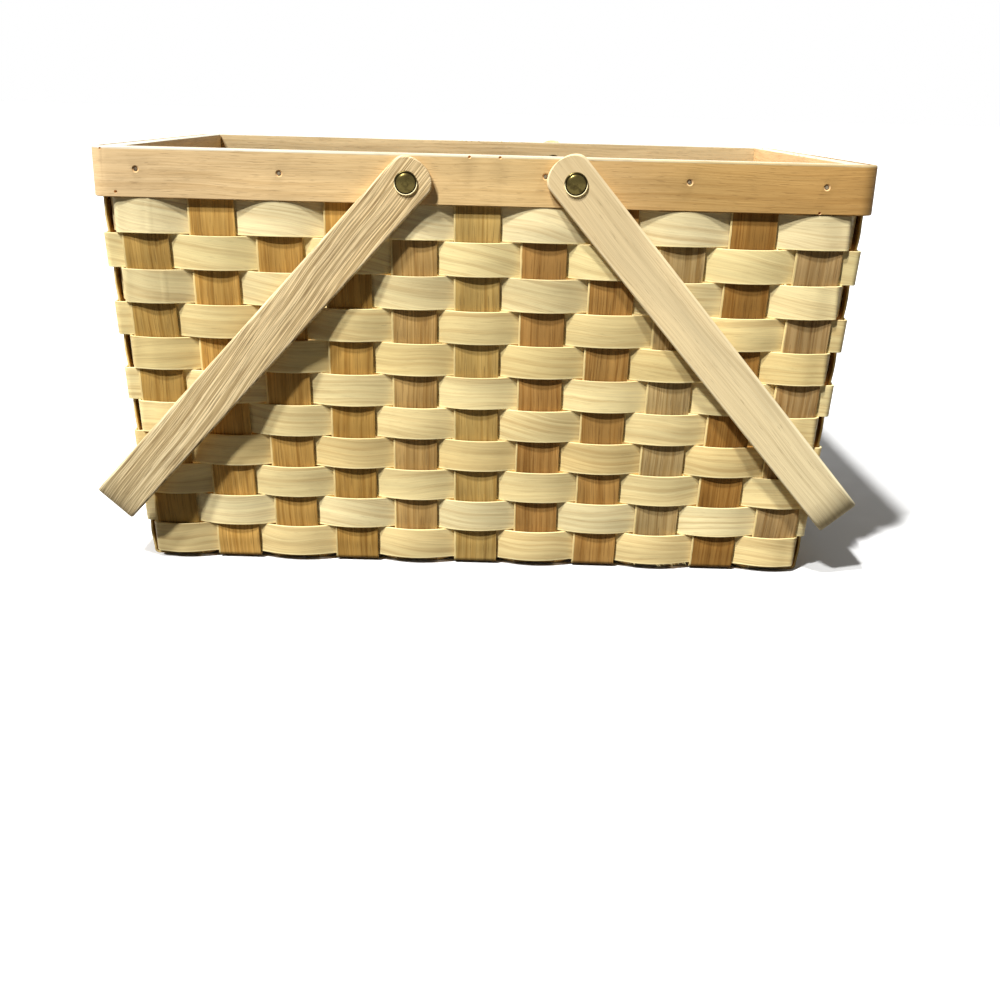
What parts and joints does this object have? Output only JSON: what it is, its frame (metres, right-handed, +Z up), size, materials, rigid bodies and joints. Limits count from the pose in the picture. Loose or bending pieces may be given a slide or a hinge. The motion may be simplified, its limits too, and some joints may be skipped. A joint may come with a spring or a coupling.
{
  "type": "woven wood-chip picnic basket",
  "caption": "Rectangular picnic basket plain-woven from wood veneer strips, with a nailed wooden rim and two riveted drop handles that swing down against the end walls.",
  "frame": {"origin": "middle of the footprint, on the surface that the basket stands on", "axes": "+X along the basket's length to the right-hand end, +Y to the back wall, +Z up"},
  "size_m": [0.4304, 0.264, 0.2329],
  "materials": {
    "stake_wood": "honey brown veneer, matt",
    "weaver_wood": "pale cream veneer, satin",
    "rim_wood": "light tan planed wood, satin",
    "handle_wood": "beige bent wood with fine grain, matt",
    "antique_brass": "antique brass, polished",
    "nail_steel": "dark steel wire"
  },
  "bodies": {
    "basket": {"long_stake_01": "stake_wood", "long_stake_02": "stake_wood", "long_stake_03": "stake_wood", "long_stake_04": "stake_wood", "long_stake_05": "stake_wood", "long_stake_06": "stake_wood", "long_stake_07": "stake_wood", "long_stake_08": "stake_wood", "long_stake_09": "stake_wood", "long_stake_10": "stake_wood", "long_stake_11": "stake_wood", "cross_stake_1": "stake_wood", "cross_stake_2": "stake_wood", "cross_stake_3": "stake_wood", "cross_stake_4": "stake_wood", "cross_stake_5": "stake_wood", "cross_stake_6": "stake_wood", "cross_stake_7": "stake_wood", "weaver_01": "weaver_wood", "weaver_02": "weaver_wood", "weaver_03": "weaver_wood", "weaver_04": "weaver_wood", "weaver_05": "weaver_wood", "weaver_06": "weaver_wood", "weaver_07": "weaver_wood", "weaver_08": "weaver_wood", "weaver_09": "weaver_wood", "weaver_10": "weaver_wood", "weaver_11": "weaver_wood", "rim_outer_band": "rim_wood", "inner_rail_front": "rim_wood", "inner_rail_back": "rim_wood", "inner_rail_left": "rim_wood", "inner_rail_right": "rim_wood", "rivet_left_front": "antique_brass", "rivet_left_back": "antique_brass", "rivet_right_front": "antique_brass", "rivet_right_back": "antique_brass", "washer_left_front": "antique_brass", "washer_left_back": "antique_brass", "washer_right_front": "antique_brass", "washer_right_back": "antique_brass", "nail_front_1": "nail_steel", "nail_front_2": "nail_steel", "nail_front_3": "nail_steel", "nail_front_4": "nail_steel", "nail_front_5": "nail_steel", "nail_front_6": "nail_steel", "nail_back_1": "nail_steel", "nail_back_2": "nail_steel", "nail_back_3": "nail_steel", "nail_back_4": "nail_steel", "nail_back_5": "nail_steel", "nail_back_6": "nail_steel", "nail_left_1": "nail_steel", "nail_left_2": "nail_steel", "nail_right_1": "nail_steel", "nail_right_2": "nail_steel"},
    "left_handle": {"handle_left": "handle_wood"},
    "right_handle": {"handle_right": "handle_wood"}
  },
  "joints": [
    {"name": "left_handle_swing", "type": "hinge", "parent": "basket", "child": "left_handle", "pos_m": [-0.0398, 0, 0.2163], "axis": [0, 1, 0], "range_deg": [0, 144.6]},
    {"name": "right_handle_swing", "type": "hinge", "parent": "basket", "child": "right_handle", "pos_m": [0.0472, 0, 0.2177], "axis": [0, -1, 0], "range_deg": [0, 145.9]}
  ]
}
